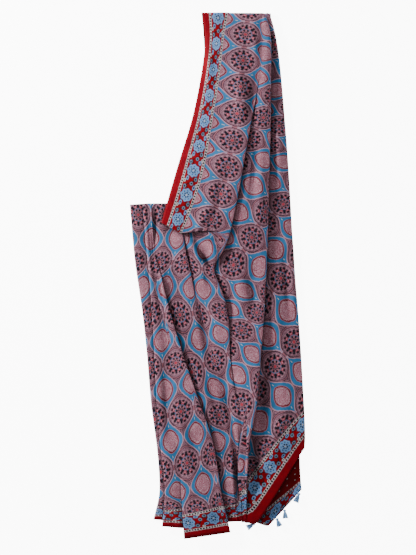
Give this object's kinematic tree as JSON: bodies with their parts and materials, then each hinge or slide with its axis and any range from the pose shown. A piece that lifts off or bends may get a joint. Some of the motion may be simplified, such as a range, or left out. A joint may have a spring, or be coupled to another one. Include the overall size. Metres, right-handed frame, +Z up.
{
  "type": "draped ajrakh cloth",
  "caption": "Long block-printed cloth laid out in its worn shape: pleated lower part, front flap, shoulder fold and a tasselled tail.",
  "frame": {"origin": "on the surface the cloth lies on, at the middle of its outline", "axes": "+Z up from the surface, +Y from the hem towards the shoulder fold, +X towards the side with the tail's tassels"},
  "size_m": [0.4936, 1.473, 0.0366],
  "materials": {
    "printed_cotton": "matt block-printed cotton",
    "tassel_thread": "slate-blue cotton thread"
  },
  "bodies": {
    "root": {"cloth": "printed_cotton", "tassel_left": "tassel_thread", "tassel_low": "tassel_thread", "tassel_mid": "tassel_thread", "tassel_right": "tassel_thread"}
  },
  "joints": []
}
